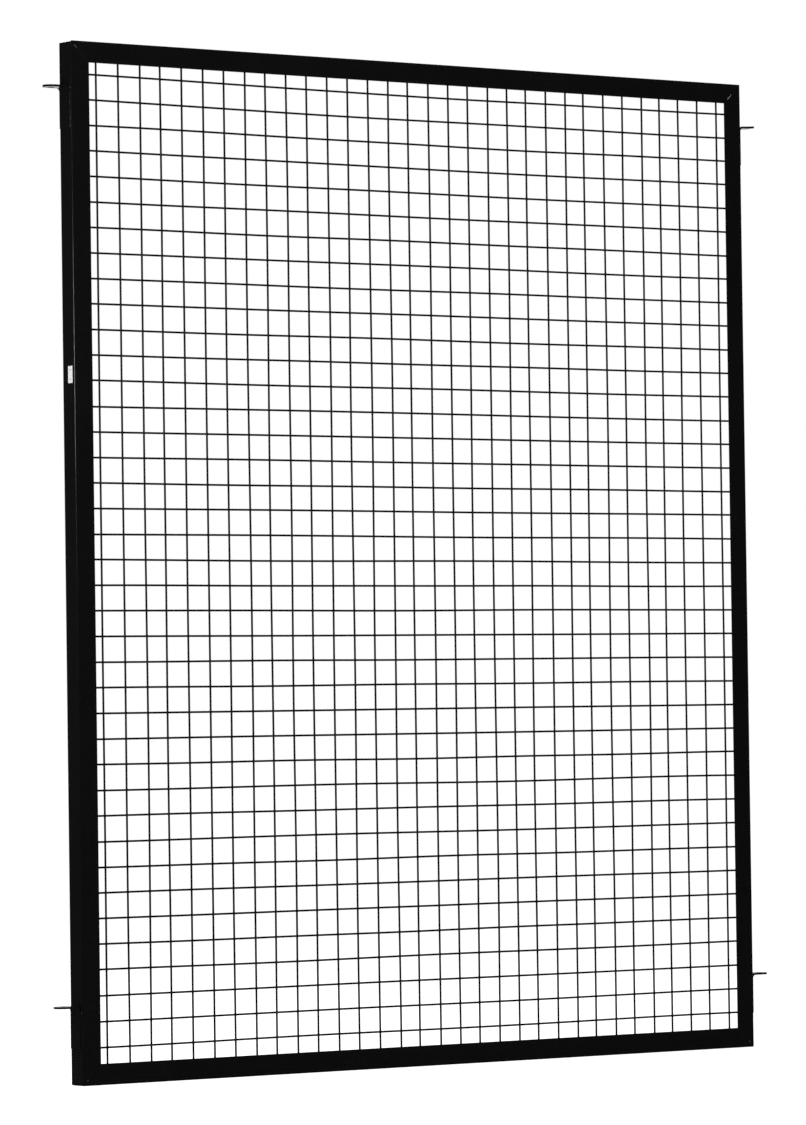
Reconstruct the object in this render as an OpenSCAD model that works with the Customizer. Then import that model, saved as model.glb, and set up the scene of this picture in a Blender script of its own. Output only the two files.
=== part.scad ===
// Framed wire mesh partition panel: four mitred steel angles, welded square mesh
// behind their front flanges, and four bent flat-bar tabs that hold it between posts.
// X runs to the right, Y to the back, Z up. The origin is midway between the holes of
// the two upper tabs, on the tabs' undersides, which is where the panel hangs.

/* [Frame] */
// Width over the outer faces of the two stiles
frame_width = 1276; // [900:1:1500]
// Height over the outer faces of the two rails
frame_height = 1552; // [1200:1:1900]
// Leg of the equal angle, which is also the depth of the frame
angle_leg = 31.75; // [29:0.25:45]
// Wall of the angle
angle_wall = 3.2; // [2.4:0.1:5]
// Radius on the heel of the angle
heel_radius = 1.2; // [0.4:0.1:1.2]
// Radius in the root of the angle
root_radius = 2; // [0.5:0.1:2.5]
// Radius on the inner edge of each toe
toe_radius = 1.2; // [0.4:0.1:1.8]
// Radius ground on the four outer corners of the frame
corner_radius = 2.5; // [0.5:0.1:3]

/* [Mesh] */
// Distance from wire to wire, both ways
mesh_pitch = 38.1; // [25:0.1:60]
// Diameter of the wire
wire_diameter = 3.05; // [2:0.05:3.4]
// From the inside of the top rail to the axis of the highest wire
mesh_top_inset = 7; // [5:0.5:12]
// Least distance from the inside of a stile or rail to the axis of the last wire
mesh_edge_inset = 5; // [5:0.5:9]
// Gap between a cut wire end and the inside of the frame
wire_end_gap = 3; // [1:0.5:4]
// Seat of the mesh above the back of the front flanges
mesh_seat = 0.05; // [0.02:0.01:0.2]

/* [Tabs] */
// Undersides of the upper tabs below the top of the frame
upper_tab_drop = 70; // [60:1:160]
// Undersides of the lower tabs above the bottom of the frame
lower_tab_rise = 115; // [110:1:240]
// Width of the flat bar
bar_width = 25.4; // [20:0.1:25.4]
// Thickness of the flat bar
bar_thickness = 3.2; // [2.5:0.1:4]
// Length of the leg, from the top of the tab to its lower end
tab_leg = 63.5; // [45:0.5:80]
// Reach of the tab beyond the stile, to its rounded tip
tab_reach = 38.1; // [32:0.1:60]
// Radius on the inside of the bend
bend_radius = 5; // [3:0.5:7]
// Diameter of the bolt hole
bolt_hole = 11; // [6:0.5:13]

/* [Welds] */
// Height of the ground bead above the front of each mitre
mitre_bead_height = 0.35; // [0.2:0.05:0.6]
// Width of the ground bead on each mitre
mitre_bead_width = 4.4; // [3:0.1:6]
// Distance from each end of the mitre to its bead
mitre_bead_inset = 4; // [4:0.5:8]
// Size of the fillet inside each corner
corner_fillet = 3; // [2:0.1:4]
// Size of the fillets round each tab's leg
tab_fillet = 1.8; // [1:0.1:1.9]
// Length of the straight part of a tack that holds a wire
tack_length = 3.5; // [2:0.5:6]
// From the toe of a rail to the middle of its tacks
tack_inset = 8; // [6:0.5:12]
// Mesh cells from one tack to the next along a stile
stile_tack_cells = 4; // [2:1:8]

/* [Label] */
// Width of the label
label_width = 12; // [8:0.5:16]
// Height of the label
label_height = 25.5; // [15:0.5:40]
// Thickness of the label
label_thickness = 0.2; // [0.1:0.05:0.4]
// From the front of the frame to the middle of the label
label_setback = 11.8; // [10:0.1:16]
// Middle of the label above the bottom of the frame
label_rise = 1055; // [300:1:1100]

/* [Hidden] */
$fn = 48;

// Length added to cutting and clipping solids so that they pass right through
over = 1;
LEFT = -1;
RIGHT = 1;
UPPER = 1;
LOWER = -1;

// The frame's faces in the part's own frame
side_x = frame_width / 2;
front_y = -angle_leg / 2;
back_y = angle_leg / 2;
top_z = upper_tab_drop;
bottom_z = top_z - frame_height;
middle_z = (top_z + bottom_z) / 2;
flange_back_y = front_y + angle_wall;

// The pocket inside the frame, between the side flanges
pocket_x = side_x - angle_wall;
pocket_top_z = top_z - angle_wall;
pocket_bottom_z = bottom_z + angle_wall;

// The mesh fills the pocket with whole cells, centred from side to side and
// set out from the top
wire_radius = wire_diameter / 2;
column_count = floor(2 * (pocket_x - mesh_edge_inset) / mesh_pitch) + 1;
row_count = floor((pocket_top_z - pocket_bottom_z - mesh_top_inset - mesh_edge_inset)
                  / mesh_pitch) + 1;
first_column_x = -(column_count - 1) * mesh_pitch / 2;
first_row_z = pocket_top_z - mesh_top_inset;
vertical_wire_y = flange_back_y + mesh_seat + wire_radius;
horizontal_wire_y = vertical_wire_y + wire_diameter;
function column_x(i) = first_column_x + i * mesh_pitch;
function row_z(j) = first_row_z - j * mesh_pitch;

// The tabs: plan radius, the hole's distance from the stile, and the levels
tab_tip_radius = bar_width / 2;
hole_reach = tab_reach - tab_tip_radius;
upper_tab_z = 0;
lower_tab_z = bottom_z + lower_tab_rise;
tab_leg_foot = bar_thickness - tab_leg;
outer_bend_radius = bend_radius + bar_thickness;

// The mitre bead is the cap of a cylinder that lies behind the front face
mitre_bead_radius = (pow(mitre_bead_width / 2, 2) + pow(mitre_bead_height, 2))
                    / (2 * mitre_bead_height);
mitre_length = angle_leg * sqrt(2);
mitre_bead_length = mitre_length - 2 * mitre_bead_inset;

// The rows of wires along a stile that have a tack half a cell below them
tack_row_count = floor((row_count - 2) / stile_tack_cells) + 1;
tack_rows = [for (k = [0 : tack_row_count - 1]) k * stile_tack_cells];

// Cross-section of the angle: heel at the origin, one flange along +X, one along +Y
module angle_section() {
    difference() {
        union() {
            square([angle_leg, angle_wall]);
            square([angle_wall, angle_leg]);
            translate([angle_wall, angle_wall]) corner_fill(root_radius);
        }
        corner_fill(heel_radius);
        translate([angle_leg, angle_wall]) rotate(180) corner_fill(toe_radius);
        translate([angle_wall, angle_leg]) rotate(180) corner_fill(toe_radius);
    }
}

// The part of a square corner that lies outside a round of radius r
module corner_fill(r) {
    difference() {
        square(r);
        translate([r, r]) circle(r);
    }
}

// Angle of the given length along X with both ends mitred at 45 degrees, heel at
// the bottom front edge, flanges towards +Z and +Y
module mitred_angle(length) {
    half = length / 2;
    intersection() {
        rotate([90, 0, 90]) translate([0, 0, -half]) linear_extrude(length)
            mirror([1, -1]) angle_section();
        rotate([90, 0, 0]) translate([0, 0, -angle_leg - over])
            linear_extrude(angle_leg + 2 * over)
                polygon([[-half, 0], [half, 0], [half - angle_leg - over, angle_leg + over],
                         [-half + angle_leg + over, angle_leg + over]]);
    }
}

// Outline of the frame with its ground corners, as a block that clips the angles
module frame_outline() {
    inner_w = frame_width - 2 * corner_radius;
    inner_h = frame_height - 2 * corner_radius;
    translate([0, front_y - over, middle_z]) rotate([-90, 0, 0])
        linear_extrude(angle_leg + 2 * over) {
            square([frame_width, inner_h], center = true);
            square([inner_w, frame_height], center = true);
            for (x = [-inner_w / 2, inner_w / 2], z = [-inner_h / 2, inner_h / 2])
                translate([x, z]) circle(corner_radius);
        }
}

module rail(level) {
    intersection() {
        translate([0, front_y, level == UPPER ? top_z : bottom_z])
            mirror([0, 0, level == UPPER ? 1 : 0]) mitred_angle(frame_width);
        frame_outline();
    }
}

module stile(side) {
    intersection() {
        translate([side * side_x, front_y, middle_z])
            mirror([side == RIGHT ? 1 : 0, 0, 0]) rotate([0, 90, 0])
                mitred_angle(frame_height);
        frame_outline();
    }
}

module left_stile() { color("#141414") stile(LEFT); }
module right_stile() { color("#141414") stile(RIGHT); }
module top_rail() { color("#161616") rail(UPPER); }
module bottom_rail() { color("#161616") rail(LOWER); }

// Upright wires, against the back of the front flanges
module vertical_wires() {
    foot = pocket_bottom_z + wire_end_gap;
    length = pocket_top_z - wire_end_gap - foot;
    color("#1c1c1c")
        for (i = [0 : column_count - 1])
            translate([column_x(i), vertical_wire_y, foot]) cylinder(h = length, d = wire_diameter);
}

// Level wires, welded across the back of the upright ones
module horizontal_wires() {
    half = pocket_x - wire_end_gap;
    color("#1c1c1c")
        for (j = [0 : row_count - 1])
            translate([-half, horizontal_wire_y, row_z(j)]) rotate([0, 90, 0])
                cylinder(h = 2 * half, d = wire_diameter);
}

// Side view of a tab: leg down the stile at x = 0, bend, and tab with its underside
// at z = 0
module tab_profile() {
    bend_x = bar_thickness + bend_radius;
    translate([0, tab_leg_foot]) square([bar_thickness, -bend_radius - tab_leg_foot]);
    translate([bend_x, 0]) square([tab_reach - bend_x, bar_thickness]);
    translate([bend_x, -bend_radius]) intersection() {
        difference() {
            circle(outer_bend_radius);
            circle(bend_radius);
        }
        translate([-outer_bend_radius, 0]) square(outer_bend_radius);
    }
}

// Bent tab on the right of the panel, with its foot on the stile and a round tip
module bent_tab() {
    difference() {
        intersection() {
            rotate([90, 0, 0]) translate([0, 0, -bar_width / 2]) linear_extrude(bar_width)
                tab_profile();
            translate([0, 0, tab_leg_foot - over]) linear_extrude(tab_leg + 2 * over) {
                translate([0, -bar_width / 2]) square([hole_reach, bar_width]);
                translate([hole_reach, 0]) circle(tab_tip_radius);
            }
        }
        translate([hole_reach, 0, -over])
            cylinder(h = bar_thickness + 2 * over, d = bolt_hole);
    }
}

// Puts a right-hand piece on the outer face of either stile at a tab's level
module on_stile(side, level) {
    mirror([side == LEFT ? 1 : 0, 0, 0])
        translate([side_x, 0, level == UPPER ? upper_tab_z : lower_tab_z]) children();
}

module upper_left_tab() { color("#181818") on_stile(LEFT, UPPER) bent_tab(); }
module upper_right_tab() { color("#181818") on_stile(RIGHT, UPPER) bent_tab(); }
module lower_left_tab() { color("#181818") on_stile(LEFT, LOWER) bent_tab(); }
module lower_right_tab() { color("#181818") on_stile(RIGHT, LOWER) bent_tab(); }

// Welds of one corner: the ground bead over the mitre and the fillet inside
module corner_weld(side, level) {
    corner_z = level == UPPER ? top_z : bottom_z;
    mirror([side == LEFT ? 1 : 0, 0, 0]) translate([side_x, 0, corner_z])
        mirror([0, 0, level == UPPER ? 1 : 0]) {
            mitre_bead();
            inner_corner_fillet();
        }
}

// Low bead along the mitre of the lower right corner, on the front face
module mitre_bead() {
    axis_y = front_y - mitre_bead_height + mitre_bead_radius;
    rotate([0, -45, 0]) intersection() {
        translate([0, axis_y, mitre_bead_inset])
            cylinder(h = mitre_bead_length, r = mitre_bead_radius);
        translate([-mitre_bead_width, front_y - over, 0])
            cube([2 * mitre_bead_width, over, mitre_length]);
    }
}

// Fillet between the side flanges, inside the lower right corner
module inner_corner_fillet() {
    foot_y = flange_back_y + root_radius;
    translate([-angle_wall, foot_y, angle_wall]) rotate([-90, 0, 0])
        linear_extrude(back_y - foot_y) intersection() {
            translate([-corner_fillet, -corner_fillet]) square(corner_fillet);
            circle(corner_fillet);
        }
}

module upper_left_corner_weld() { color("#222222") corner_weld(LEFT, UPPER); }
module upper_right_corner_weld() { color("#222222") corner_weld(RIGHT, UPPER); }
module lower_left_corner_weld() { color("#222222") corner_weld(LEFT, LOWER); }
module lower_right_corner_weld() { color("#222222") corner_weld(RIGHT, LOWER); }

// Fillets along both edges and the foot of a tab's leg, on the stile's outer face
module tab_weld() {
    bead_top = -bend_radius;
    for (edge = [-1, 1])
        translate([0, edge * bar_width / 2, tab_leg_foot]) mirror([0, edge < 0 ? 1 : 0, 0])
            linear_extrude(bead_top - tab_leg_foot) fillet_section();
    translate([0, bar_width / 2, tab_leg_foot]) rotate([90, 0, 0])
        linear_extrude(bar_width) mirror([0, 1]) fillet_section();
}

// Quarter round that fills the corner of a lap joint
module fillet_section() {
    intersection() {
        square(tab_fillet);
        circle(tab_fillet);
    }
}

module upper_left_tab_weld() { color("#222222") on_stile(LEFT, UPPER) tab_weld(); }
module upper_right_tab_weld() { color("#222222") on_stile(RIGHT, UPPER) tab_weld(); }
module lower_left_tab_weld() { color("#222222") on_stile(LEFT, LOWER) tab_weld(); }
module lower_right_tab_weld() { color("#222222") on_stile(RIGHT, LOWER) tab_weld(); }

// Two lobes of weld, one on each side of an upright wire, on a flange's back
module wire_tack(x, z) {
    difference() {
        translate([x, flange_back_y, z]) {
            translate([0, 0, -tack_length / 2]) cylinder(h = tack_length, r = wire_diameter);
            for (end = [-tack_length / 2, tack_length / 2])
                translate([0, 0, end]) sphere(wire_diameter);
        }
        tack_clearance(x, z);
    }
}

// What a tack leaves free: the flange, the wire and the space below the wire
module tack_clearance(x, z) {
    reach = tack_length + 2 * wire_diameter + over;
    translate([x - reach, flange_back_y - reach, z - reach]) cube([2 * reach, reach, 2 * reach]);
    translate([x - wire_radius, flange_back_y - over, z - reach])
        cube([wire_diameter, over + vertical_wire_y - flange_back_y, 2 * reach]);
    translate([x, vertical_wire_y, z - reach]) cylinder(h = 2 * reach, r = wire_radius);
}

module rail_tacks(z) {
    for (i = [0 : column_count - 1]) wire_tack(column_x(i), z);
}

module stile_tacks(i) {
    for (j = tack_rows) wire_tack(column_x(i), row_z(j) - mesh_pitch / 2);
}

module top_wire_tacks() { color("#222222") rail_tacks(top_z - angle_leg + tack_inset); }
module bottom_wire_tacks() { color("#222222") rail_tacks(bottom_z + angle_leg - tack_inset); }
module left_wire_tacks() { color("#222222") stile_tacks(0); }
module right_wire_tacks() { color("#222222") stile_tacks(column_count - 1); }

// Plain label on the outer face of the left stile
module stile_label() {
    color("white")
        translate([-side_x - label_thickness, front_y + label_setback - label_width / 2,
                   bottom_z + label_rise - label_height / 2])
            cube([label_thickness, label_width, label_height]);
}

left_stile();
right_stile();
top_rail();
bottom_rail();
vertical_wires();
horizontal_wires();
upper_left_tab();
upper_right_tab();
lower_left_tab();
lower_right_tab();
upper_left_corner_weld();
upper_right_corner_weld();
lower_left_corner_weld();
lower_right_corner_weld();
upper_left_tab_weld();
upper_right_tab_weld();
lower_left_tab_weld();
lower_right_tab_weld();
top_wire_tacks();
bottom_wire_tacks();
left_wire_tacks();
right_wire_tacks();
stile_label();
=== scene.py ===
"""Looks of a framed wire mesh partition panel.

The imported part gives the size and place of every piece. This script dresses the angle frame and
models what needs more surface than the plain solids hold: the wires with their weld spots, the
bent tabs with broken edges, the rippled weld beads, the tack welds and the label.
"""

import logging
import math
import random
from dataclasses import dataclass
from enum import Enum
from typing import Any

import bmesh
import bpy
from bmesh.types import BMEdge, BMesh, BMFace, BMVert
from bpy.types import ID, Material, Node, NodeSocket, NodeTree, Object
from mathutils import Matrix, Vector, noise


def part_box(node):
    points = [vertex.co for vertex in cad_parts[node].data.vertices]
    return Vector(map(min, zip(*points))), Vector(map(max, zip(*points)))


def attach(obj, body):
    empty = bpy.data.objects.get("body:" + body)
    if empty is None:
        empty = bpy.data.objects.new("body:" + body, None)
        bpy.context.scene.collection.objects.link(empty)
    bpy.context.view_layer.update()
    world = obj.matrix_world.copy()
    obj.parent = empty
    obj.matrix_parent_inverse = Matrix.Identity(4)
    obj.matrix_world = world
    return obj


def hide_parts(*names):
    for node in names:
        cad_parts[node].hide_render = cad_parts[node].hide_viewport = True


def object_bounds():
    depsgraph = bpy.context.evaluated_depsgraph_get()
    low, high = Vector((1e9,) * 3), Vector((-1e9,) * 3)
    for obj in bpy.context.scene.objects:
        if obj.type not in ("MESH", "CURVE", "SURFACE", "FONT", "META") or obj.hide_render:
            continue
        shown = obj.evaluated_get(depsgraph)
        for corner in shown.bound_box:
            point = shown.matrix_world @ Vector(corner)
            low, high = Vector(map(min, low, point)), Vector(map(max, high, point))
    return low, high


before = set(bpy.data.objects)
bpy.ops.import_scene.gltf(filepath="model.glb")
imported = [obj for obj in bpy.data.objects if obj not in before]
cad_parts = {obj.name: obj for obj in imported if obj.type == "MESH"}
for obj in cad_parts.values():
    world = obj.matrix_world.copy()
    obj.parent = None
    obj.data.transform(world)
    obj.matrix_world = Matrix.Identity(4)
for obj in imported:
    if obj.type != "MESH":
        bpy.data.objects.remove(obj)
CAD_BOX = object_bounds()

LOG = logging.getLogger("partition_panel")
BODY = "root"
MM = 0.001
IMAGE_HEIGHT = 1125
SEED = 1276

# Stock sizes that the boxes of the nodes don't give, in metres
ANGLE_WALL = 3.2 * MM
MESH_PITCH = 38.1 * MM
BAR_THICKNESS = 3.2 * MM
BEND_RADIUS = 5 * MM
BOLT_HOLE = 11 * MM
# The upright wires are one layer, so their box is as deep as a wire is thick
WIRE_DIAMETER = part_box("vertical_wires")[1].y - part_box("vertical_wires")[0].y
# From the face of the stile to the flat part of a tab, and from its top to its straight leg
BEND_END = BAR_THICKNESS + BEND_RADIUS

# An edge that turns by more degrees than this is shaded sharp
WIRE_TURN = 35.0
WELD_TURN = 60.0
PLATE_TURN = 18.0

# Nearly all values of a noise texture lie between these
NOISE_SPAN = (0.3, 0.7)

# Sockets of a Mix node for its two colours and for the mixed one
FIRST = 6
SECOND = 7
MIXED = 2

# Cosine from which two directions count as one, and distance up to which two places do
SAME_WAY = 0.999
SAME_PLACE = 0.01 * MM

# Turns what was built along Z with its crown towards +Y so that it runs along Y
LAID_BACK = Matrix.Rotation(-math.pi / 2, 4, "X")


class Side(Enum):
    """Side of the panel, as the sign of X."""

    LEFT = -1
    RIGHT = 1


class Level(Enum):
    """Upper or lower end of the panel, as the sign of Z."""

    UPPER = 1
    LOWER = -1


class Grain(Enum):
    """Direction in which a length of steel was rolled, as the axis that its marks follow."""

    ACROSS = 0
    UPRIGHT = 2


def node_name(side: Side, level: Level, thing: str) -> str:
    """Names the node of a thing that the panel has at each corner."""
    return f"{level.name.lower()}_{side.name.lower()}_{thing}"


def linear_colour(hex_colour: str) -> tuple[float, float, float, float]:
    """Turns an sRGB hex colour into the linear colour that a shader socket takes.

    Args:
        hex_colour: Colour such as "#0d0d0e".

    Returns:
        Linear red, green and blue, and an alpha of 1.
    """
    digits = hex_colour.lstrip("#")
    channels = [int(digits[i:i + 2], 16) / 255 for i in (0, 2, 4)]
    linear = [c / 12.92 if c <= 0.04045 else ((c + 0.055) / 1.055) ** 2.4 for c in channels]
    return (*linear, 1.0)


def add_node(tree: NodeTree, kind: str, inputs: dict[str | int, Any] | None = None,
             **settings: Any) -> Node:
    """Adds a node with its settings and its links.

    Args:
        tree: Node tree that gets the node.
        kind: Blender's name of the node's type, without ShaderNode in front.
        inputs: For each input, by name or number, its value or the output that feeds it.
        settings: Attributes of the node, such as its operation.

    Returns:
        The new node.
    """
    node = tree.nodes.new(f"ShaderNode{kind}")
    for name, value in settings.items():
        setattr(node, name, value)
    for name, value in (inputs or {}).items():
        socket = node.inputs[name]
        if isinstance(value, NodeSocket):
            tree.links.new(value, socket)
        else:
            socket.default_value = value
    return node


def empty_material(name: str) -> Material:
    """Makes a material with an empty node tree.

    Args:
        name: Name of the material.

    Returns:
        The material.
    """
    material = bpy.data.materials.new(name)
    material.use_nodes = True
    material.node_tree.nodes.clear()
    return material


def add_object(name: str, data: ID) -> Object:
    """Adds an object with its mesh, lamp or camera to the scene.

    Args:
        name: Name of the object.
        data: Its mesh, lamp or camera.

    Returns:
        The object.
    """
    thing = bpy.data.objects.new(name, data)
    bpy.context.scene.collection.objects.link(thing)
    return thing


@dataclass(frozen=True)
class Finish:
    """Finish of a surface, which makes its material when it is first asked for.

    Attributes:
        name: Name of the material.
    """

    name: str

    def material(self) -> Material:
        """Gives the finish's material.

        Returns:
            The material.
        """
        material = bpy.data.materials.get(self.name)
        if not material:
            material = empty_material(self.name)
            tree = material.node_tree
            place = add_node(tree, "TexCoord").outputs["Object"]
            shader = self.shader(tree, place)
            add_node(tree, "OutputMaterial", {"Surface": shader.outputs[0]})
        return material

    def shader(self, tree: NodeTree, place: NodeSocket) -> Node:
        """Adds the nodes of the finish, fed with object coordinates, and gives the last one."""
        raise NotImplementedError


@dataclass(frozen=True)
class PowderCoat(Finish):
    """Black polyester powder, sprayed on steel and baked.

    It is a deep, even black with a soft gloss. Close up it has a fine orange peel and a few pale
    specks of dust that were baked in, and its colour and gloss drift a little from place to
    place, because the powder lies thicker here and there. On rolled sections the shallow marks
    of the rolling show through along the length.
    """

    colour: str = "#09090a"
    thick_colour: str = "#101011"
    dust_colour: str = "#2a2a2c"
    dust_size: float = 1.4 * MM
    dust_edges: tuple[float, float] = (0.71, 0.79)
    roughness: float = 0.22
    roughness_drift: float = 0.03
    specular: float = 0.5
    peel_size: float = 2.2 * MM
    peel_height: float = 0.012 * MM
    drift_size: float = 85 * MM
    grain: Grain | None = None
    grain_width: float = 1.6 * MM
    grain_stretch: float = 30.0
    grain_height: float = 0.02 * MM

    def shader(self, tree: NodeTree, place: NodeSocket) -> Node:
        """Adds the nodes of the coat.

        Args:
            tree: Node tree of the material.
            place: Object coordinates.

        Returns:
            The shader node.
        """
        drift = add_node(tree, "TexNoise", {
            "Vector": place, "Scale": 1 / self.drift_size, "Detail": 3.0, "Roughness": 0.6})
        roughness = add_node(tree, "MapRange", {
            "Value": drift.outputs[0], "From Min": NOISE_SPAN[0], "From Max": NOISE_SPAN[1],
            "To Min": self.roughness - self.roughness_drift,
            "To Max": self.roughness + self.roughness_drift})
        peel = add_node(tree, "TexNoise", {
            "Vector": place, "Scale": 1 / self.peel_size, "Detail": 1.0})
        relief = add_node(tree, "Bump", {
            "Height": peel.outputs[0], "Distance": self.peel_height, "Strength": 1.0})
        if self.grain:
            relief = self.rolled_relief(tree, place, relief)
        return add_node(tree, "BsdfPrincipled", {
            "Base Color": self.dusty_colour(tree, place, drift),
            "Roughness": roughness.outputs[0], "Specular IOR Level": self.specular,
            "Normal": relief.outputs[0]})

    def dusty_colour(self, tree: NodeTree, place: NodeSocket, drift: Node) -> NodeSocket:
        """Mixes the colour of thin and thick coat, with specks of dust.

        Args:
            tree: The coat's node tree.
            place: Object coordinates.
            drift: Noise that says where the coat is thick.

        Returns:
            The colour.
        """
        coat = add_node(tree, "Mix", {
            "Factor": drift.outputs[0], FIRST: linear_colour(self.colour),
            SECOND: linear_colour(self.thick_colour)}, data_type="RGBA")
        dust = add_node(tree, "TexNoise", {
            "Vector": place, "Scale": 1 / self.dust_size, "Detail": 1.0})
        specks = add_node(tree, "MapRange", {
            "Value": dust.outputs[0], "From Min": self.dust_edges[0],
            "From Max": self.dust_edges[1]})
        mix = add_node(tree, "Mix", {
            "Factor": specks.outputs[0], FIRST: coat.outputs[MIXED],
            SECOND: linear_colour(self.dust_colour)}, data_type="RGBA")
        return mix.outputs[MIXED]

    def rolled_relief(self, tree: NodeTree, place: NodeSocket, relief: Node) -> Node:
        """Adds the long shallow marks that hot rolling leaves under the coat.

        Args:
            tree: The coat's node tree.
            place: Object coordinates.
            relief: Bump node of the orange peel, which these marks carry.

        Returns:
            The bump node that holds both.
        """
        stretch = [1.0, 1.0, 1.0]
        stretch[self.grain.value] = 1 / self.grain_stretch
        along = add_node(tree, "Mapping", {"Vector": place, "Scale": stretch})
        marks = add_node(tree, "TexNoise", {
            "Vector": along.outputs[0], "Scale": 1 / self.grain_width, "Detail": 2.0})
        return add_node(tree, "Bump", {
            "Height": marks.outputs[0], "Distance": self.grain_height, "Strength": 1.0,
            "Normal": relief.outputs[0]})


@dataclass(frozen=True)
class PaintedGlintSteel(Finish):
    """Pale mild steel on the crown of a weld proud of the flat coat, as a painted highlight.

    It paints the glint of the glossy coat on that crown as pale grey metal with fine scratches, in
    short dashes between flecks of black.
    """

    name: str = "mild_steel_rubbed_bare"
    colour: str = "#a9a8a6"
    fleck_colour: str = "#101011"
    roughness: float = 0.34
    fleck_size: float = 1.1 * MM
    fleck_edges: tuple[float, float] = (0.36, 0.5)
    scratch_width: float = 0.25 * MM
    scratch_height: float = 0.006 * MM

    def shader(self, tree: NodeTree, place: NodeSocket) -> Node:
        """Adds the nodes of the steel.

        Args:
            tree: Node tree of the material.
            place: Object coordinates.

        Returns:
            The shader node.
        """
        # The flecks mask where the pale metal of the painted highlight shows
        flecks = add_node(tree, "TexNoise", {
            "Vector": place, "Scale": 1 / self.fleck_size, "Detail": 2.0})
        glint_mask = add_node(tree, "MapRange", {
            "Value": flecks.outputs[0], "From Min": self.fleck_edges[0],
            "From Max": self.fleck_edges[1]})
        colour = add_node(tree, "Mix", {
            "Factor": glint_mask.outputs[0], FIRST: linear_colour(self.fleck_colour),
            SECOND: linear_colour(self.colour)}, data_type="RGBA")
        scratches = add_node(tree, "TexNoise", {
            "Vector": place, "Scale": 1 / self.scratch_width, "Detail": 1.0})
        relief = add_node(tree, "Bump", {
            "Height": scratches.outputs[0], "Distance": self.scratch_height, "Strength": 1.0})
        return add_node(tree, "BsdfPrincipled", {
            "Base Color": colour.outputs[MIXED], "Metallic": glint_mask.outputs[0],
            "Roughness": self.roughness, "Normal": relief.outputs[0]})


@dataclass(frozen=True)
class LabelFilm(Finish):
    """White vinyl film with a print of two plain grey bars.

    It is a clean white with a faint mottle and less gloss than the coat under it, and the bars
    are pale.
    """

    name: str = "vinyl_film_printed"
    colour: str = "#f6f3f4"
    bar_colour: str = "#cfc9cb"
    roughness: float = 0.45
    mottle_size: float = 3 * MM
    mottle_height: float = 0.01 * MM
    bar_height: float = 1.8 * MM
    bar_width: float = 6.5 * MM
    bar_offset: float = 7 * MM

    def shader(self, tree: NodeTree, place: NodeSocket) -> Node:
        """Adds the nodes of the film.

        Args:
            tree: Node tree of the material.
            place: Object coordinates.

        Returns:
            The shader node.
        """
        bars = self.printed_bars(tree, place)
        colour = add_node(tree, "Mix", {
            "Factor": bars, FIRST: linear_colour(self.colour),
            SECOND: linear_colour(self.bar_colour)}, data_type="RGBA")
        mottle = add_node(tree, "TexNoise", {
            "Vector": place, "Scale": 1 / self.mottle_size, "Detail": 2.0})
        relief = add_node(tree, "Bump", {
            "Height": mottle.outputs[0], "Distance": self.mottle_height, "Strength": 1.0})
        return add_node(tree, "BsdfPrincipled", {
            "Base Color": colour.outputs[MIXED], "Roughness": self.roughness,
            "Normal": relief.outputs[0]})

    def printed_bars(self, tree: NodeTree, place: NodeSocket) -> NodeSocket:
        """Draws the two bars, one as far above the middle of the label as the other below.

        Args:
            tree: Node tree of the material.
            place: Object coordinates.

        Returns:
            1 on the bars and 0 beside them.
        """
        low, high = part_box("stile_label")
        centre = (low + high) / 2
        centred = add_node(tree, "Mapping", {
            "Vector": place, "Location": centre}, vector_type="TEXTURE")
        axes = add_node(tree, "SeparateXYZ", {0: centred.outputs[0]})
        across = add_node(tree, "Math", {
            0: axes.outputs[1], 1: 0.0, 2: self.bar_width / 2}, operation="COMPARE")
        height = add_node(tree, "Math", {0: axes.outputs[2]}, operation="ABSOLUTE")
        up = add_node(tree, "Math", {
            0: height.outputs[0], 1: self.bar_offset, 2: self.bar_height / 2},
            operation="COMPARE")
        bars = add_node(tree, "Math", {
            0: across.outputs[0], 1: up.outputs[0]}, operation="MULTIPLY")
        return bars.outputs[0]


STILE_COAT = PowderCoat("powder_coat_on_rolled_stile", grain=Grain.UPRIGHT)
RAIL_COAT = PowderCoat("powder_coat_on_rolled_rail", grain=Grain.ACROSS)
BAR_COAT = PowderCoat("powder_coat_on_flat_bar")
WIRE_COAT = PowderCoat("powder_coat_on_drawn_wire", roughness=0.5, specular=0.2,
                       peel_size=1.2 * MM, peel_height=0.008 * MM)
WELD_COAT = PowderCoat("powder_coat_on_weld_bead", thick_colour="#121213", roughness=0.26,
                       peel_size=0.9 * MM, peel_height=0.02 * MM)
PAINTED_GLINT_STEEL = PaintedGlintSteel()
LABEL_FILM = LabelFilm()


@dataclass
class Piece:
    """A modelled mesh, with the node it stands for and what it is dressed in.

    Attributes:
        name: Name of the piece.
        replaces: CAD node that it stands for.
        slot: The record's material slot; not used.
        finish: Finish of its surface.
    """

    name: str
    replaces: str
    slot: str
    finish: Finish

    def place(self, shape: BMesh, sharp_turn: float) -> None:
        """Turns the built shape into an object that rides on the panel.

        Args:
            shape: The shape, in the part's frame. It is freed.
            sharp_turn: Edges that turn by more degrees than this are shaded sharp.
        """
        bmesh.ops.recalc_face_normals(shape, faces=shape.faces)
        limit = math.radians(sharp_turn)
        for edge in shape.edges:
            edge.smooth = edge.calc_face_angle(math.pi) < limit
        for face in shape.faces:
            face.smooth = True
        mesh = bpy.data.meshes.new(self.name)
        shape.to_mesh(mesh)
        shape.free()
        mesh.materials.append(self.finish.material())
        thing = add_object(self.name, mesh)
        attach(thing, BODY)
        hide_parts(self.replaces)
        LOG.info("%s: %d faces, stands for %s", self.name, len(mesh.polygons), self.replaces)


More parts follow.
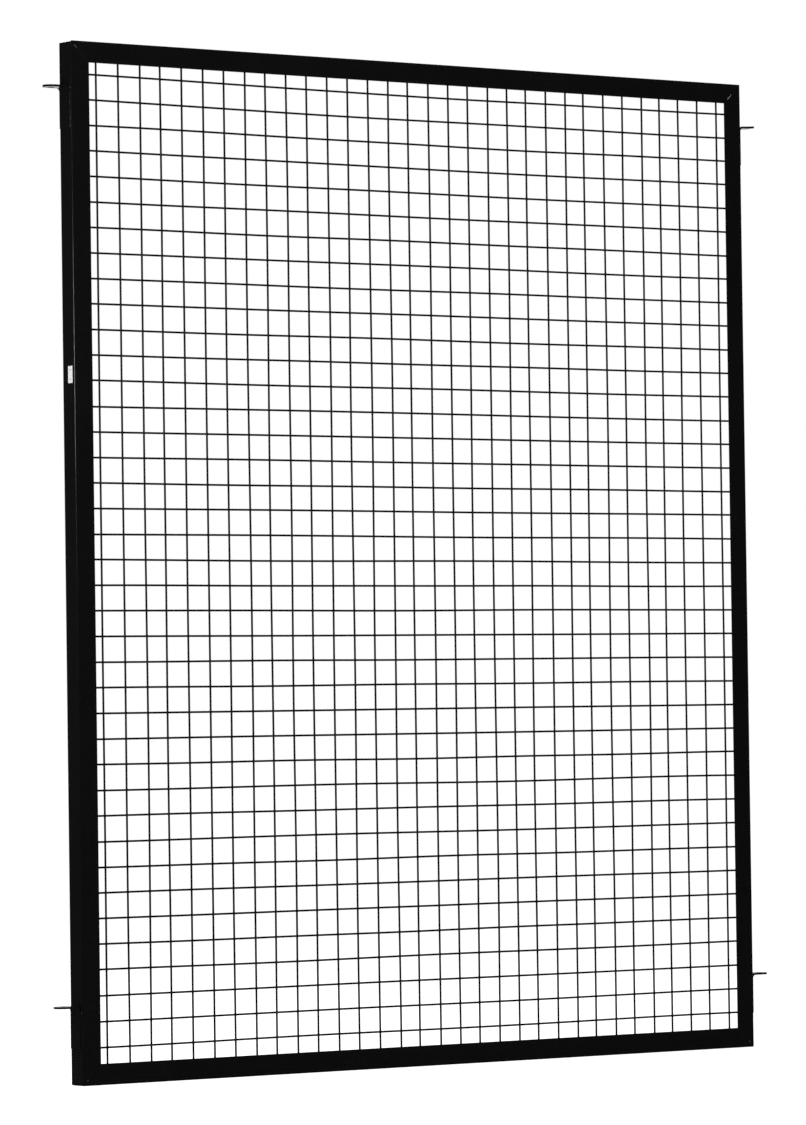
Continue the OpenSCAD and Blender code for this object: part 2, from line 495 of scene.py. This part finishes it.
def merge_copy(target: BMesh, part: BMesh, placing: Matrix) -> None:
    """Copies one shape into another.

    Args:
        target: Shape that takes the copy.
        part: Shape to copy, which is left as it is.
        placing: Where the copy goes.
    """
    mesh = bpy.data.meshes.new("copy")
    part.to_mesh(mesh)
    mesh.transform(placing)
    target.from_mesh(mesh)
    bpy.data.meshes.remove(mesh)


def long_edges(shape: BMesh, axis: int) -> list[BMEdge]:
    """Lists the edges that run along an axis.

    Args:
        shape: Shape to look through.
        axis: 0 for X, 1 for Y and 2 for Z.

    Returns:
        The edges.
    """
    along = []
    for edge in shape.edges:
        direction = (edge.verts[1].co - edge.verts[0].co).normalized()
        if abs(direction[axis]) > SAME_WAY:
            along.append(edge)
    return along


def round_edges(shape: BMesh, edges: list[BMEdge], reach: float, facets: int) -> None:
    """Rounds edges of a shape, as far as the reach from each."""
    bmesh.ops.bevel(shape, geom=edges, offset=reach, offset_type="OFFSET", segments=facets,
                    profile=0.5, affect="EDGES", material=-1)


@dataclass
class AngleFrame:
    """Four mitred angles, which keep their own solids and get the powder coat.

    Attributes:
        stiles: Nodes of the uprights.
        rails: Nodes of the level members.
    """

    stiles: tuple[str, ...] = ("left_stile", "right_stile")
    rails: tuple[str, ...] = ("top_rail", "bottom_rail")

    def build(self) -> None:
        """Coats the stiles and rails, with the rolling marks along each."""
        for nodes, finish in ((self.stiles, STILE_COAT), (self.rails, RAIL_COAT)):
            for name in nodes:
                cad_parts[name].material_slots[0].material = finish.material()
                LOG.info("%s: coated with %s", name, finish.name)


@dataclass
class Wander:
    """How far a drawn wire strays from its place in the pitch, with two slow waves.

    Attributes:
        draw: Random numbers of the mesh.
        reach: Most that the waves stray, for a wave of one half turn over the wire.
        shift: Most that the whole wire lies off its place.
        span: Length of the wire.
        sag: How far the middle of the wire hangs down.
        half_turns: Half turns that each wave makes over the wire.
        rate_range: Least and most share of its half turns that a wave makes.
    """

    draw: random.Random
    reach: float
    shift: float
    span: float
    sag: float = 0.0
    half_turns: tuple[int, ...] = (3, 5)
    rate_range: tuple[float, float] = (0.7, 1.3)

    def __post_init__(self) -> None:
        """Draws the wire's place and its two waves."""
        self.offset = self.draw.uniform(-1, 1) * self.shift
        self.waves = [(self.draw.uniform(-1, 1) * self.reach / turns,
                       self.draw.uniform(*self.rate_range) * turns * math.pi / self.span,
                       self.draw.uniform(0, math.tau)) for turns in self.half_turns]

    def at(self, along: float) -> float:
        """Gives the stray, upwards or to the right, at a distance from the wire's middle."""
        waves = sum(size * math.sin(rate * along + start) for size, rate, start in self.waves)
        return self.offset + waves - self.sag * (1 - (2 * along / self.span) ** 2)


@dataclass
class WireMesh:
    """Square mesh of drawn wire, welded where the wires cross.

    Attributes:
        sides: Facets round a wire.
        sink: How far the weld presses the two layers into each other.
        stray: Reach of the waves in a wire.
        upright_shift: Most that an upright wire lies off the pitch.
        level_shift: Most that a level wire lies off the pitch.
        top_sag: Sag in the middle of the highest wire.
        sag_rows: Rows over which the sag dies away.
        sag_power: Power by which it dies away.
        spot_radius: Half width of the flash at a crossing.
        spot_range: Least and most share of that half width.
        spot_height: Half height of the flash, along the panel's depth.
    """

    sides: int = 12
    sink: float = 0.3 * MM
    stray: float = 2.0 * MM
    upright_shift: float = 1.4 * MM
    level_shift: float = 0.3 * MM
    top_sag: float = 3.5 * MM
    sag_rows: int = 7
    sag_power: float = 1.5
    spot_radius: float = 1.7 * MM
    spot_range: tuple[float, float] = (0.85, 1.1)
    spot_height: float = 1.0 * MM

    def __post_init__(self) -> None:
        """Works out the layers and the lines of the wires from the nodes' boxes."""
        self.draw = random.Random(SEED)
        self.upright_low, self.upright_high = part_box("vertical_wires")
        self.level_low, self.level_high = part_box("horizontal_wires")
        radius = WIRE_DIAMETER / 2
        self.columns = self.lines(self.upright_low.x + radius, self.upright_high.x - radius)
        self.rows = self.lines(self.level_high.z - radius, self.level_low.z + radius)
        self.upright_y = (self.upright_low.y + self.upright_high.y) / 2
        self.level_y = (self.level_low.y + self.level_high.y) / 2 - self.sink
        self.middle_z = (self.upright_low.z + self.upright_high.z) / 2
        self.upright_span = self.upright_high.z - self.upright_low.z
        self.level_span = self.level_high.x - self.level_low.x
        self.column_wander = [
            Wander(self.draw, self.stray, self.upright_shift, self.upright_span)
            for _ in self.columns]
        self.row_wander = [
            Wander(self.draw, self.stray, self.level_shift, self.level_span, self.sag_of(row))
            for row in range(len(self.rows))]

    @staticmethod
    def lines(first: float, last: float) -> list[float]:
        """Spaces the axes of the wires evenly from the first to the last."""
        gaps = round(abs(last - first) / MESH_PITCH)
        return [first + (last - first) * i / gaps for i in range(gaps + 1)]

    def sag_of(self, row: int) -> float:
        """Gives the sag in the middle of a row, which is deepest at the top."""
        return self.top_sag * max(0.0, 1 - row / self.sag_rows) ** self.sag_power

    def wire(self, length: float, rings: int) -> BMesh:
        """Makes a straight wire along Z.

        Args:
            length: Length of the wire.
            rings: Rings between its ends.

        Returns:
            The wire, centred on the origin.
        """
        half_facet = math.pi / self.sides
        # The facets are set out so that the wire looks as wide as a round one on average
        radius = WIRE_DIAMETER / 2 * half_facet / math.sin(half_facet)
        shape = bmesh.new()
        bmesh.ops.create_cone(shape, cap_ends=True, segments=self.sides, depth=length,
                              radius1=radius, radius2=radius)
        bmesh.ops.subdivide_edges(shape, edges=long_edges(shape, 2), cuts=rings)
        return shape

    def column_x(self, column: int, z: float) -> float:
        """Gives the X of an upright wire, counted from the left, at a height."""
        return self.columns[column] + self.column_wander[column].at(z - self.middle_z)

    def upright_wires(self) -> BMesh:
        """Builds the upright wires, which lie against the flanges.

        Returns:
            The wires.
        """
        straight = self.wire(self.upright_span, len(self.rows))
        layer = bmesh.new()
        for x, wander in zip(self.columns, self.column_wander):
            wire = straight.copy()
            for vert in wire.verts:
                vert.co.x += wander.at(vert.co.z)
            merge_copy(layer, wire, Matrix.Translation((x, self.upright_y, self.middle_z)))
            wire.free()
        straight.free()
        return layer

    def level_wires(self) -> BMesh:
        """Builds the level wires across the back of the upright ones, and the weld spots.

        Returns:
            The wires and spots.
        """
        straight = self.wire(self.level_span, len(self.columns))
        straight.transform(Matrix.Rotation(math.pi / 2, 4, "Y"))
        layer = bmesh.new()
        for z, wander in zip(self.rows, self.row_wander):
            wire = straight.copy()
            for vert in wire.verts:
                vert.co.z += wander.at(vert.co.x)
            merge_copy(layer, wire, Matrix.Translation((0, self.level_y, z)))
            wire.free()
        straight.free()
        self.add_weld_spots(layer)
        return layer

    def add_weld_spots(self, layer: BMesh) -> None:
        """Adds the small flash that resistance welding squeezes out at each crossing.

        Args:
            layer: Shape that gets the spots.
        """
        between = (self.upright_y + self.level_y) / 2
        spot = bmesh.new()
        bmesh.ops.create_uvsphere(spot, u_segments=6, v_segments=4, radius=1.0)
        for column, x in enumerate(self.columns):
            for z, row in zip(self.rows, self.row_wander):
                size = self.spot_radius * self.draw.uniform(*self.spot_range)
                place = Matrix.Translation((self.column_x(column, z), between, z + row.at(x)))
                scale = Matrix.Diagonal((size, self.spot_height, size, 1.0))
                merge_copy(layer, spot, place @ scale)
        spot.free()

    def build(self) -> None:
        """Builds and dresses both layers."""
        for name, node, layer in (
                ("upright_mesh_wires", "vertical_wires", self.upright_wires),
                ("level_mesh_wires", "horizontal_wires", self.level_wires)):
            Piece(name, node, "mesh_wire", WIRE_COAT).place(layer(), WIRE_TURN)


@dataclass
class BentTab:
    """Tab bent from flat bar, with a round tip and a bolt hole, on one stile.

    Attributes:
        side: Stile that carries it.
        level: Upper or lower tab.
        lift: How far its tip is bent up.
        lift_power: Power by which the lift grows towards the tip.
        round_steps: Facets in half of the tip's round.
        bend_steps: Facets in the bend.
        broken_edge: Rounding that blasting and the coat leave on the sheared edges.
        sheared_turn: Degrees by which a sheared edge turns at least.
    """

    side: Side
    level: Level
    lift: float = 0.0
    lift_power: float = 1.5
    round_steps: int = 16
    bend_steps: int = 8
    broken_edge: float = 0.5 * MM
    sheared_turn: float = 60.0

    def __post_init__(self) -> None:
        """Takes the tab's place and sizes from its node."""
        self.name = node_name(self.side, self.level, "tab")
        self.low, self.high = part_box(self.name)
        self.width = self.high.y - self.low.y
        self.reach = self.high.x - self.low.x
        self.leg = self.high.z - self.low.z

    def build(self) -> None:
        """Builds the tab at its node's place."""
        shape = self.plate()
        self.bend_down(shape)
        self.break_edges(shape)
        self.lift_tip(shape)
        bmesh.ops.scale(shape, vec=(self.side.value, 1, 1), verts=shape.verts)
        root_x = self.high.x if self.side is Side.LEFT else self.low.x
        place = (root_x, (self.low.y + self.high.y) / 2, self.high.z - BAR_THICKNESS)
        bmesh.ops.translate(shape, vec=place, verts=shape.verts)
        Piece(f"{self.name}_bar", self.name, "tab_bar", BAR_COAT).place(shape, PLATE_TURN)

    def plate(self) -> BMesh:
        """Makes the flat part: a ring round the hole, squared off towards the bend.

        Returns:
            The flat part with its underside at Z = 0 and the stile at X = 0.
        """
        tip_radius = self.width / 2
        hole_x = self.reach - tip_radius
        steps = 4 * self.round_steps
        shape = bmesh.new()
        bmesh.ops.create_circle(shape, segments=steps, radius=BOLT_HOLE / 2)
        outline = bmesh.ops.create_circle(shape, segments=steps, radius=tip_radius)["verts"]
        bmesh.ops.bridge_loops(shape, edges=shape.edges)
        for vert in outline:
            if vert.co.x < 0:
                self.square_off(vert, tip_radius, hole_x - BEND_END)
        bmesh.ops.translate(shape, vec=(hole_x, 0, 0), verts=shape.verts)
        raised = bmesh.ops.extrude_face_region(shape, geom=shape.faces[:])
        top = [item for item in raised["geom"] if isinstance(item, BMVert)]
        bmesh.ops.translate(shape, vec=(0, 0, BAR_THICKNESS), verts=top)
        return shape

    @staticmethod
    def square_off(vert: BMVert, half_width: float, length: float) -> None:
        """Moves a point of the outer circle's back half onto the bar's straight outline.

        Args:
            vert: Point to move.
            half_width: Half of the bar's width.
            length: From the hole to the bend.
        """
        # From 0 at the middle of the bar's end to 1 beside the hole, with the corner half way
        turn = math.atan2(abs(vert.co.y), -vert.co.x) / (math.pi / 2)
        corner = 0.5
        sign = math.copysign(1.0, vert.co.y)
        if turn < corner:
            vert.co = (-length, sign * half_width * turn / corner, 0)
        else:
            vert.co = (-length * (1 - turn) / (1 - corner), sign * half_width, 0)

    def bend_down(self, shape: BMesh) -> None:
        """Carries the flat part round the bend and down the leg.

        Args:
            shape: The flat part, which gets the bend and the leg.
        """
        ends = [face for face in shape.faces if face.normal.x < -SAME_WAY
                and abs(face.calc_center_median().x - BEND_END) < SAME_PLACE]
        turned = bmesh.ops.spin(shape, geom=ends, cent=(BEND_END, 0, -BEND_RADIUS),
                                axis=(0, 1, 0), angle=-math.pi / 2, steps=self.bend_steps)
        bmesh.ops.delete(shape, geom=ends, context="FACES_ONLY")
        foot = [item for item in turned["geom_last"] if isinstance(item, BMFace)]
        grown = bmesh.ops.extrude_face_region(shape, geom=foot)
        bmesh.ops.delete(shape, geom=foot, context="FACES_ONLY")
        moved = [item for item in grown["geom"] if isinstance(item, BMVert)]
        bmesh.ops.translate(shape, vec=(0, 0, BEND_END - self.leg), verts=moved)
        bmesh.ops.remove_doubles(shape, verts=shape.verts, dist=SAME_PLACE)
        bmesh.ops.recalc_face_normals(shape, faces=shape.faces)

    def break_edges(self, shape: BMesh) -> None:
        """Rounds the sheared edges and the rim of the hole.

        Args:
            shape: The bent bar.
        """
        limit = math.radians(self.sheared_turn)
        sheared = [edge for edge in shape.edges if edge.calc_face_angle(0.0) > limit]
        round_edges(shape, sheared, self.broken_edge, facets=2)

    def lift_tip(self, shape: BMesh) -> None:
        """Bends the flat part up towards its tip.

        Args:
            shape: The bent bar.
        """
        for vert in shape.verts:
            share = max(0.0, (vert.co.x - BEND_END) / (self.reach - BEND_END))
            vert.co.z += self.lift * share ** self.lift_power


@dataclass
class Bead:
    """Run of weld with the crescent ripples that the pool leaves as it freezes.

    Attributes:
        length: Length of the run.
        half_width: Half width where it meets the steel.
        height: Height above the steel.
        seed: Sets where the run swells and narrows.
        ripple: Distance from one ripple to the next.
        depth: Depth of a ripple, as a share of the height.
        curl: How far a ripple lags at the sides of the run, as a share of the ripple.
        swell: How far the run swells and narrows, as a share of its size.
        swell_ripples: Ripples from one swell to the next.
        end_size: Size of the blunt ends, as a share of the run's.
        sides: Facets round the run.
        rings_per_ripple: Rings that draw a ripple.
        least_rings: Rings of the shortest run.
    """

    length: float
    half_width: float
    height: float
    seed: int
    ripple: float = 1.6 * MM
    depth: float = 0.16
    curl: float = 0.6
    swell: float = 0.08
    swell_ripples: int = 4
    end_size: float = 0.25
    sides: int = 12
    rings_per_ripple: int = 4
    least_rings: int = 8

    def lay(self, weld: BMesh, placing: Matrix) -> None:
        """Builds the run along Z from the origin, with its crown towards +Y, and lays it.

        The run is closed, with half of it below the steel at Y = 0.

        Args:
            weld: Shape that gets the run.
            placing: Where the run goes.
        """
        run = bmesh.new()
        bmesh.ops.create_cone(run, cap_ends=True, segments=self.sides, radius1=1.0,
                              radius2=1.0, depth=self.length)
        rings = round(self.length / self.ripple * self.rings_per_ripple)
        bmesh.ops.subdivide_edges(run, edges=long_edges(run, 2),
                                  cuts=max(self.least_rings, rings))
        bmesh.ops.translate(run, vec=(0, 0, self.length / 2), verts=run.verts)
        for vert in run.verts:
            self.form(vert)
        merge_copy(weld, run, placing)
        run.free()

    def form(self, vert: BMVert) -> None:
        """Moves a point of the plain run onto the rippled one.

        Args:
            vert: Point on the cylinder of radius 1.
        """
        place = vert.co.z
        lag = self.curl * self.ripple * vert.co.x ** 2
        phase = ((place + lag) / self.ripple) % 1.0
        crest = 1 - self.depth * (1 - phase) ** 2
        wave = noise.noise(Vector((self.seed, 0.0, place / (self.swell_ripples * self.ripple))))
        end = min(place, self.length - place) / self.half_width
        taper = math.sqrt(max(0.0, 1 - max(0.0, 1 - end) ** 2))
        size = (1 + self.swell * wave) * max(self.end_size, taper)
        vert.co.x *= self.half_width * size
        vert.co.y *= self.height * size * crest


@dataclass
class TabWeld:
    """Fillet welds along both edges and the foot of a tab's leg.

    Attributes:
        side: Stile that carries the tab.
        level: Upper or lower tab.
        edge_seed: Sets how the runs along the edges swell.
        foot_seed: Sets how the run at the foot swells.
    """

    side: Side
    level: Level
    edge_seed: int = 2
    foot_seed: int = 7

    def build(self) -> None:
        """Builds the three runs round the leg."""
        name = node_name(self.side, self.level, "tab_weld")
        low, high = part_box(name)
        sign = self.side.value
        face_x = low.x if self.side is Side.RIGHT else high.x
        fillet = high.x - low.x
        half_bar = (high.y - low.y) / 2 - fillet
        middle_y = (high.y + low.y) / 2
        foot = low.z + fillet
        crown_out = Matrix.Rotation(-sign * math.pi / 2, 4, "Z")
        corners = [Matrix.Translation((face_x, middle_y + edge * half_bar, foot))
                   for edge in (-1, 1)]
        weld = bmesh.new()
        for index, corner in enumerate(corners):
            run = Bead(high.z - foot, fillet, fillet, index + self.edge_seed * sign)
            run.lay(weld, corner @ crown_out)
        run = Bead(2 * half_bar, fillet, fillet, self.foot_seed * sign)
        run.lay(weld, corners[0] @ LAID_BACK @ crown_out)
        Piece(f"{name}_beads", name, "weld_bead", WELD_COAT).place(weld, WELD_TURN)


@dataclass(frozen=True)
class MitreRun:
    """Place and size of a run of weld along the front of a mitre.

    Attributes:
        start: From the frame's outer corner to the run, along the mitre.
        length: Length of the run.
        half_width: Half width of the run.
    """

    start: float
    length: float
    half_width: float = 0.9 * MM


@dataclass
class CornerWeld:
    """Weld of one mitre: a bead ground nearly flush in front, and a fillet inside.

    Attributes:
        side: Side of the corner.
        level: Upper or lower corner.
        ridge: Crown of the bead that the grinding wheel left, in pale steel as a painted highlight.
        flush_height: Height of the ground bead.
        flush_half_width: Half width of the ground bead.
        fillet: Size of the fillet inside.
        fillet_depth: From the front face to the fillet.
        fillet_seed: Sets how the fillet swells.
        crown_share: Height of the ridge, as a share of the height that the node gives it.
    """

    side: Side
    level: Level
    ridge: MitreRun
    flush_height: float = 0.05 * MM
    flush_half_width: float = 1.8 * MM
    fillet: float = 3 * MM
    fillet_depth: float = 2 * ANGLE_WALL
    fillet_seed: int = 3
    crown_share: float = 0.95

    def build(self) -> None:
        """Builds the bead and the inner fillet, and the ridge."""
        name = node_name(self.side, self.level, "corner_weld")
        low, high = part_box(name)
        corner = self.corner()
        outer = Vector((high.x if self.side is Side.RIGHT else low.x, corner.y,
                        high.z if self.level is Level.UPPER else low.z))
        length = Vector((high.x - low.x, 0, high.z - low.z)).length
        flush = MitreRun((outer - corner).length, length, self.flush_half_width)
        weld = bmesh.new()
        self.add_run(weld, flush, self.flush_height)
        self.add_fillet(weld, high.y)
        Piece(f"{name}_beads", name, "weld_bead", WELD_COAT).place(weld, WELD_TURN)
        # The crown is pale steel, a painted highlight of the glossy coat on it
        crown = bmesh.new()
        self.add_run(crown, self.ridge, self.crown_share * (corner.y - low.y))
        Piece(f"{name}_ridge", name, "weld_bead", PAINTED_GLINT_STEEL).place(crown, WELD_TURN)

    def add_run(self, weld: BMesh, run: MitreRun, height: float) -> None:
        """Adds a run of weld along the front of the mitre.

        Args:
            weld: Shape that gets it.
            run: Place and size of the run.
            height: Height of the run.
        """
        inward = Vector((-self.side.value, 0, -self.level.value)).normalized()
        front = Vector((0, -1, 0))
        turn = Matrix((front.cross(inward), front, inward)).transposed().to_4x4()
        place = Matrix.Translation(self.corner() + inward * run.start)
        seed = round(run.start / MM) * self.side.value
        Bead(run.length, run.half_width, height, seed).lay(weld, place @ turn)

    def corner(self) -> Vector:
        """Finds the frame's sharp outer corner.

        Returns:
            The corner, on the front face.
        """
        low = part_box("left_stile")[0]
        x = low.x if self.side is Side.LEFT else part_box("right_stile")[1].x
        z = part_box("top_rail")[1].z if self.level is Level.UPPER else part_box("bottom_rail")[0].z
        return Vector((x, low.y, z))

    def add_fillet(self, weld: BMesh, back_y: float) -> None:
        """Adds the fillet between the side flanges.

        Args:
            weld: Shape that gets it.
            back_y: Back of the frame.
        """
        inner = self.corner() + Vector((-self.side.value * ANGLE_WALL, self.fillet_depth,
                                        -self.level.value * ANGLE_WALL))
        run = Bead(back_y - inner.y, self.fillet, self.fillet, self.fillet_seed)
        run.lay(weld, Matrix.Translation(inner) @ LAID_BACK)


@dataclass
class WireTacks:
    """Tack welds on both sides of the upright wires, on the back of a flange.

    Attributes:
        node: Node of the row of tacks.
        mesh: Mesh whose wires the tacks hold.
        offset: From the axis of the wire to the middle of a lobe.
        slip: Most that a lobe lies off its place along the wire.
        half_width: Half width of a lobe.
        half_length: Half length of a lobe along the wire.
        least_size: Width and height of the smallest lobe, as a share of the largest.
        least_length: Length of the shortest lobe, likewise.
        pitches: Mesh pitches from one tack to the next along a stile.
    """

    node: str
    mesh: WireMesh
    offset: float = 0.35 * WIRE_DIAMETER
    slip: float = 0.4 * MM
    half_width: float = 0.75 * WIRE_DIAMETER
    half_length: float = 4.2 * MM
    least_size: float = 0.85
    least_length: float = 0.8
    pitches: int = 4

    def build(self) -> None:
        """Builds two lobes for each tack of the node."""
        low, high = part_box(self.node)
        draw = random.Random(f"{SEED}{self.node}")
        weld = bmesh.new()
        lobe = bmesh.new()
        bmesh.ops.create_uvsphere(lobe, u_segments=8, v_segments=6, radius=1.0)
        for centre in self.centres(low, high):
            for edge in (-1, 1):
                grow = draw.uniform(self.least_size, 1.0)
                length = draw.uniform(self.least_length, 1.0) * self.half_length
                size = (grow * self.half_width, grow * (high.y - low.y), length, 1.0)
                shift = Vector((edge * self.offset, 0, draw.uniform(-self.slip, self.slip)))
                place = Matrix.Translation(centre + shift)
                merge_copy(weld, lobe, place @ Matrix.Diagonal(size))
        lobe.free()
        Piece(f"{self.node}_lobes", self.node, "weld_bead", WELD_COAT).place(weld, WELD_TURN)

    def centres(self, low: Vector, high: Vector) -> list[Vector]:
        """Finds the middle of each tack on the back of the flange.

        Args:
            low: Lowest corner of the node.
            high: Highest corner of the node.

        Returns:
            The middles.
        """
        z = (low.z + high.z) / 2
        if high.x - low.x > high.z - low.z:
            return [Vector((self.mesh.column_x(column, z), low.y, z))
                    for column in range(len(self.mesh.columns))]
        column = 0 if low.x < 0 else -1
        reach = self.pitches * MESH_PITCH
        count = round((high.z - low.z) / reach)
        heights = [z + (i - count / 2) * reach for i in range(count + 1)]
        return [Vector((self.mesh.column_x(column, height), low.y, height))
                for height in heights]


@dataclass
class StileLabel:
    """Small plain label of vinyl film on the outer face of the left stile.

    Attributes:
        corner_radius: Rounding of its corners.
        edge: Rounding of its cut edge.
    """

    corner_radius: float = 1.2 * MM
    edge: float = 0.06 * MM

    def build(self) -> None:
        """Builds the label at its node's place."""
        low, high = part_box("stile_label")
        shape = bmesh.new()
        bmesh.ops.create_cube(shape, size=1.0)
        bmesh.ops.scale(shape, vec=high - low, verts=shape.verts)
        bmesh.ops.translate(shape, vec=(low + high) / 2, verts=shape.verts)
        round_edges(shape, long_edges(shape, 0), self.corner_radius, facets=5)
        outer = [edge for edge in shape.edges
                 if all(abs(vert.co.x - low.x) < SAME_PLACE for vert in edge.verts)]
        round_edges(shape, outer, self.edge, facets=2)
        film = Piece("stile_label_film", "stile_label", "label_film", LABEL_FILM)
        film.place(shape, PLATE_TURN)


@dataclass(frozen=True)
class SoftBox:
    """Square soft lamp that looks at the middle of the panel.

    Attributes:
        name: Name of the lamp.
        place: Middle of the soft box.
        size: Side of the soft box.
        power: Power in watts.
    """

    name: str
    place: tuple[float, float, float]
    size: float
    power: float

    def build(self) -> None:
        """Adds the lamp."""
        lamp = bpy.data.lights.new(self.name, "AREA")
        lamp.size = self.size
        lamp.energy = self.power
        holder = add_object(self.name, lamp)
        middle = (CAD_BOX[0] + CAD_BOX[1]) / 2
        holder.location = self.place
        holder.rotation_euler = (middle - Vector(self.place)).to_track_quat("-Z", "Y").to_euler()


@dataclass
class Studio:
    """Pale floor, white backdrop in a dim room, soft lamps and the camera.

    The eye sees white all round. Gloss sees the backdrop as white too, where it hangs behind the
    panel, and the dim rest of the room, so that the black coat stays black.

    Attributes:
        floor_reach: Half side of the floor.
        floor_colour: Colour of the floor.
        floor_glow: Share of white that eyes and mirrors see on the floor besides its own light.
        ambient: Light of the surroundings on the object.
        room: Brightness of the dim room in gloss.
        backdrop_way: From the panel to the middle of the backdrop.
        backdrop_edges: Angles from the middle at which the backdrop starts and ends to fade.
        lamps: The soft boxes.
        camera_place: Camera, in metres.
        camera_turn: Camera's rotation, in degrees.
        focal_px: Focal length in pixels of the picture.
    """

    floor_reach: float = 40.0
    floor_colour: str = "#e8e8e8"
    floor_glow: float = 0.76
    ambient: float = 0.35
    room: float = 0.03
    backdrop_way: tuple[float, float, float] = (0.573, 0.819, 0.0)
    backdrop_edges: tuple[float, float] = (18.0, 38.0)
    lamps: tuple[SoftBox, ...] = (
        SoftBox("key_soft_box", (-1.72, -0.53, -0.33), 0.3, 9.0),
        SoftBox("top_soft_box", (-0.2, -1.6, 2.2), 1.0, 30.0),
        SoftBox("back_soft_box", (-0.3, 2.2, 1.6), 1.0, 30.0))
    camera_place: tuple[float, float, float] = (-5.156, -7.165, -0.923)
    camera_turn: tuple[float, float, float] = (91.423, 0.781, -35.549)
    focal_px: float = 5696.9

    def build(self) -> None:
        """Builds the studio and sets how colours are shown."""
        self.add_floor()
        self.set_world()
        for lamp in self.lamps:
            lamp.build()
        self.add_camera()
        bpy.context.scene.view_settings.view_transform = "Standard"

    @staticmethod
    def shown(tree: NodeTree) -> NodeSocket:
        """Gives 1 on rays that the camera, gloss or glass sends out, and 0 on the others.

        Args:
            tree: Node tree that asks.

        Returns:
            The output that says so.
        """
        rays = add_node(tree, "LightPath").outputs
        shown = rays["Is Camera Ray"]
        for ray in ("Is Glossy Ray", "Is Transmission Ray"):
            either = add_node(tree, "Math", {0: shown, 1: rays[ray]}, operation="MAXIMUM")
            shown = either.outputs[0]
        return shown

    def brightness(self, tree: NodeTree, way: NodeSocket) -> NodeSocket:
        """Gives how bright the studio looks: white, but for gloss only where the backdrop hangs.

        Args:
            tree: Node tree that asks.
            way: Way from the panel to what is seen.

        Returns:
            The brightness, where 1 is white.
        """
        unit = add_node(tree, "VectorMath", {0: way}, operation="NORMALIZE")
        facing = add_node(tree, "VectorMath", {
            0: unit.outputs[0], 1: self.backdrop_way}, operation="DOT_PRODUCT")
        inner, outer = (math.cos(math.radians(angle)) for angle in self.backdrop_edges)
        backdrop = add_node(tree, "MapRange", {
            "Value": facing.outputs["Value"], "From Min": outer, "From Max": inner,
            "To Min": self.room, "To Max": 1.0}, interpolation_type="SMOOTHSTEP")
        path = add_node(tree, "LightPath")
        seen = add_node(tree, "Mix", {
            "Factor": path.outputs["Is Glossy Ray"], "A": 1.0, "B": backdrop.outputs[0]})
        return seen.outputs[0]

    def add_floor(self) -> None:
        """Lays the floor under the panel."""
        shape = bmesh.new()
        bmesh.ops.create_grid(shape, x_segments=1, y_segments=1, size=self.floor_reach)
        mesh = bpy.data.meshes.new("studio_floor")
        shape.to_mesh(mesh)
        shape.free()
        mesh.transform(Matrix.Translation((0, 0, CAD_BOX[0].z)))
        mesh.materials.append(self.floor_paint())
        add_object("studio_floor", mesh)

    def floor_paint(self) -> Material:
        """Makes the floor's paint, which also glows to eyes and mirrors so that it looks white.

        Returns:
            The paint.
        """
        material = empty_material("painted_studio_floor")
        tree = material.node_tree
        place = add_node(tree, "TexCoord").outputs["Object"]
        seen = self.brightness(tree, place)
        paint = add_node(tree, "Mix", {
            "Factor": seen, FIRST: linear_colour("#000000"),
            SECOND: linear_colour(self.floor_colour)}, data_type="RGBA")
        own = add_node(tree, "BsdfDiffuse", {"Color": paint.outputs[MIXED]})
        share = add_node(tree, "Math", {
            0: self.shown(tree), 1: self.floor_glow}, operation="MULTIPLY")
        dimmed = add_node(tree, "Math", {
            0: share.outputs[0], 1: seen}, operation="MULTIPLY")
        glow = add_node(tree, "Emission", {"Strength": dimmed.outputs[0]})
        surface = add_node(tree, "AddShader", {0: own.outputs[0], 1: glow.outputs[0]})
        add_node(tree, "OutputMaterial", {"Surface": surface.outputs[0]})
        return material

    def set_world(self) -> None:
        """Makes the surroundings white to the eye, and a soft light on the object."""
        world = bpy.data.worlds.new("studio")
        bpy.context.scene.world = world
        world.use_nodes = True
        tree = world.node_tree
        tree.nodes.clear()
        way = add_node(tree, "TexCoord").outputs["Generated"]
        strength = add_node(tree, "Mix", {
            "Factor": self.shown(tree), "A": self.ambient, "B": self.brightness(tree, way)})
        surroundings = add_node(tree, "Background", {
            "Color": linear_colour("#ffffff"), "Strength": strength.outputs[0]})
        add_node(tree, "OutputWorld", {"Surface": surroundings.outputs[0]})

    def add_camera(self) -> None:
        """Sets up the camera at the picture's view of the panel."""
        camera = bpy.data.cameras.new("camera")
        # The sensor's width goes with the longer side of the picture, which is its height
        camera.lens = self.focal_px * camera.sensor_width / IMAGE_HEIGHT
        camera.clip_end = 2 * self.floor_reach
        holder = add_object("camera", camera)
        holder.location = self.camera_place
        holder.rotation_euler = [math.radians(turn) for turn in self.camera_turn]
        bpy.context.scene.camera = holder


def main() -> None:
    """Builds the panel's sub-assemblies and the studio."""
    logging.basicConfig(level=logging.INFO, format="%(message)s")
    Studio().build()
    AngleFrame().build()
    mesh = WireMesh()
    mesh.build()
    for side in Side:
        for level in Level:
            lift = 2 * MM if (side, level) == (Side.RIGHT, Level.UPPER) else 0.0
            BentTab(side, level, lift).build()
            TabWeld(side, level).build()
    # Each corner's run of the pale crown that paints the highlight of its weld
    for side, level, ridge in (
            (Side.LEFT, Level.UPPER, MitreRun(9 * MM, 6 * MM)),
            (Side.RIGHT, Level.UPPER, MitreRun(24 * MM, 12 * MM)),
            (Side.LEFT, Level.LOWER, MitreRun(10 * MM, 3 * MM, 0.6 * MM)),
            (Side.RIGHT, Level.LOWER, MitreRun(10 * MM, 5 * MM))):
        CornerWeld(side, level, ridge).build()
    for node in ("top_wire_tacks", "bottom_wire_tacks", "left_wire_tacks", "right_wire_tacks"):
        WireTacks(node, mesh).build()
    StileLabel().build()


if __name__ == "__main__":
    main()
